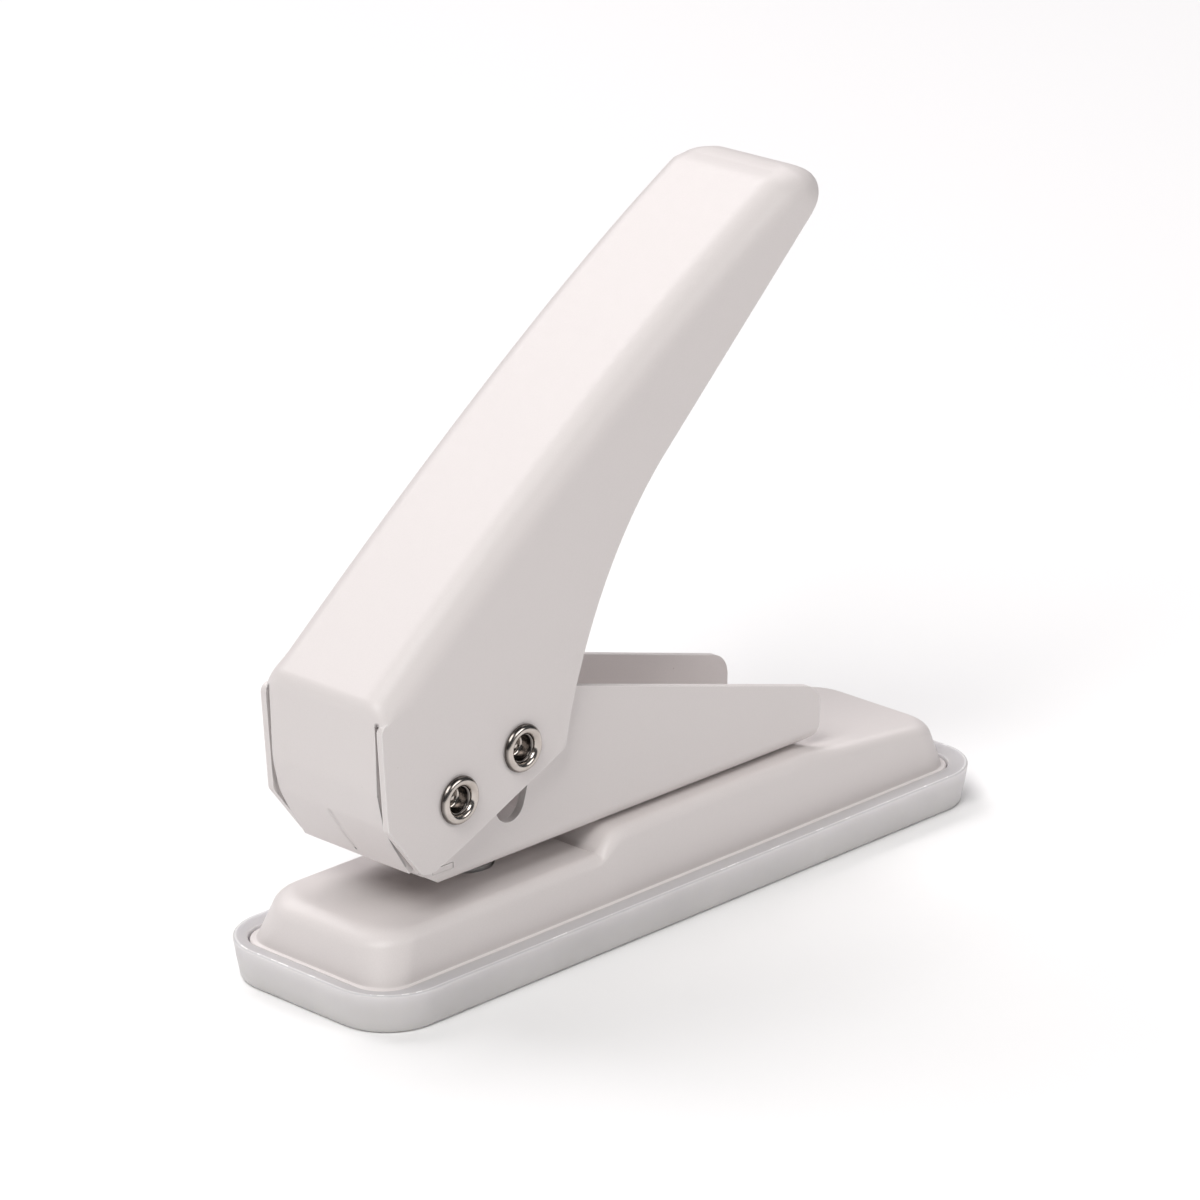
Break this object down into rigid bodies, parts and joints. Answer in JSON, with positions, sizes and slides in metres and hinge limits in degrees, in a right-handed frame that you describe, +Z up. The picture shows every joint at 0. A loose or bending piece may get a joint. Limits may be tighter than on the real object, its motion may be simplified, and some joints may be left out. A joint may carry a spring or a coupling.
{
  "type": "single hole paper punch",
  "caption": "Hand-lever paper punch: cream steel base and handle on tubular rivets, sprung punch pin, frosted pull-off chip tray.",
  "frame": {"origin": "middle of the chip tray's flat underside, where the punch stands on a desk", "axes": "+X runs from the paper entry to the handle's free end, +Y across the punch, +Z up"},
  "size_m": [0.12, 0.0344, 0.0987],
  "materials": {
    "painted_steel": "satin cream powder coat with a fine texture",
    "nickel": "bright nickel plate on rolled rivets",
    "tool_steel": "ground hardened steel",
    "spring_steel": "drawn spring wire",
    "zinc_steel": "zinc-plated pressed steel",
    "frosted_plastic": "frosted translucent soft polyethylene"
  },
  "bodies": {
    "base": {"base_plate": "painted_steel", "die_plate": "zinc_steel", "frame_bracket": "painted_steel", "guide_plate": "painted_steel", "frame_rivet_front": "zinc_steel", "frame_rivet_rear": "zinc_steel", "return_spring": "spring_steel"},
    "lever": {"lever_shell": "painted_steel", "fulcrum_rivet": "nickel", "drive_rivet": "nickel"},
    "punch": {"punch_pin": "tool_steel", "spring_washer": "zinc_steel"},
    "tray": {"chip_tray": "frosted_plastic"}
  },
  "joints": [
    {"name": "lever_press", "type": "hinge", "parent": "base", "child": "lever", "pos_m": [-0.041, 0, 0.0273], "axis": [0, 1, 0], "range_deg": [0, 38.9], "stiffness_Nm_per_rad": 0.22, "springref_deg": -31.51},
    {"name": "punch_slide", "type": "slide", "parent": "base", "child": "punch", "axis": [0, 0, -1], "range_m": [0, 0.0082], "deforming": ["return_spring"]},
    {"name": "tray_pull", "type": "slide", "parent": "base", "child": "tray", "axis": [0, 0, -1], "range_m": [0, 0.012]}
  ],
  "couplings": [
    {"joint": "punch_slide", "follows": "lever_press", "m_per_rad": 0.012064}
  ]
}
